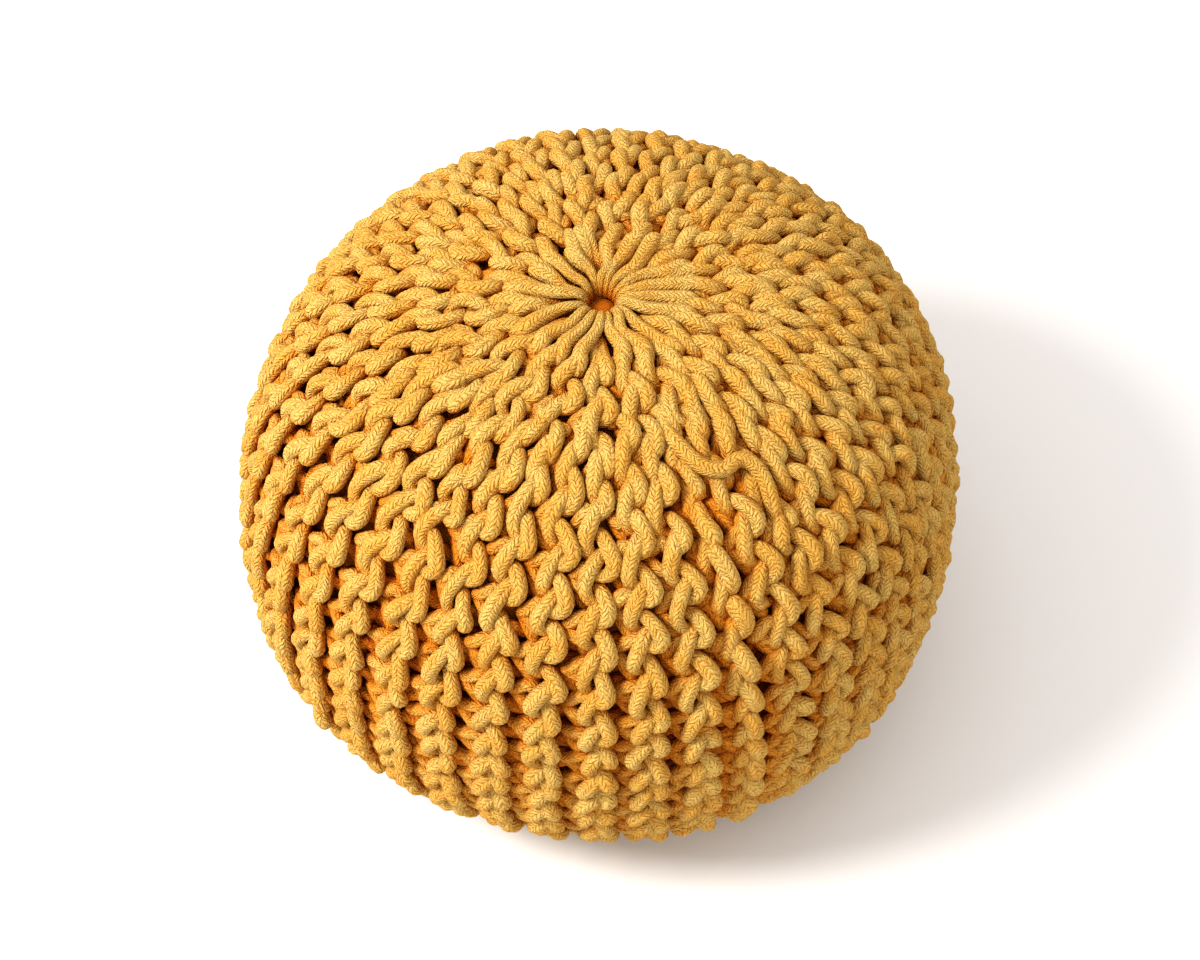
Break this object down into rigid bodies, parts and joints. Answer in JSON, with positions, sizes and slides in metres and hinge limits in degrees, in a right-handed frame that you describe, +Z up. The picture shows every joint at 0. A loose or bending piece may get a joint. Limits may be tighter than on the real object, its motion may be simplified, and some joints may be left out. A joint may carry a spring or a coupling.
{
  "type": "knitted pouf",
  "caption": "Round floor pouf in a chunky mustard garter-knit cord cover, gathered into a small hole on top, with a vertical seam and a flattened base.",
  "frame": {"origin": "middle of the flattened base, on the floor", "axes": "+Z up through the gathered hole, -Y towards the viewer in the picture"},
  "size_m": [0.4484, 0.45, 0.3299],
  "materials": {
    "cotton_cord": "matte braided cotton cord, mustard yellow",
    "lining_cloth": "matte plain cloth, orange brown"
  },
  "bodies": {
    "root": {"knitted_pouf": "cotton_cord", "lining": "lining_cloth"}
  },
  "joints": []
}
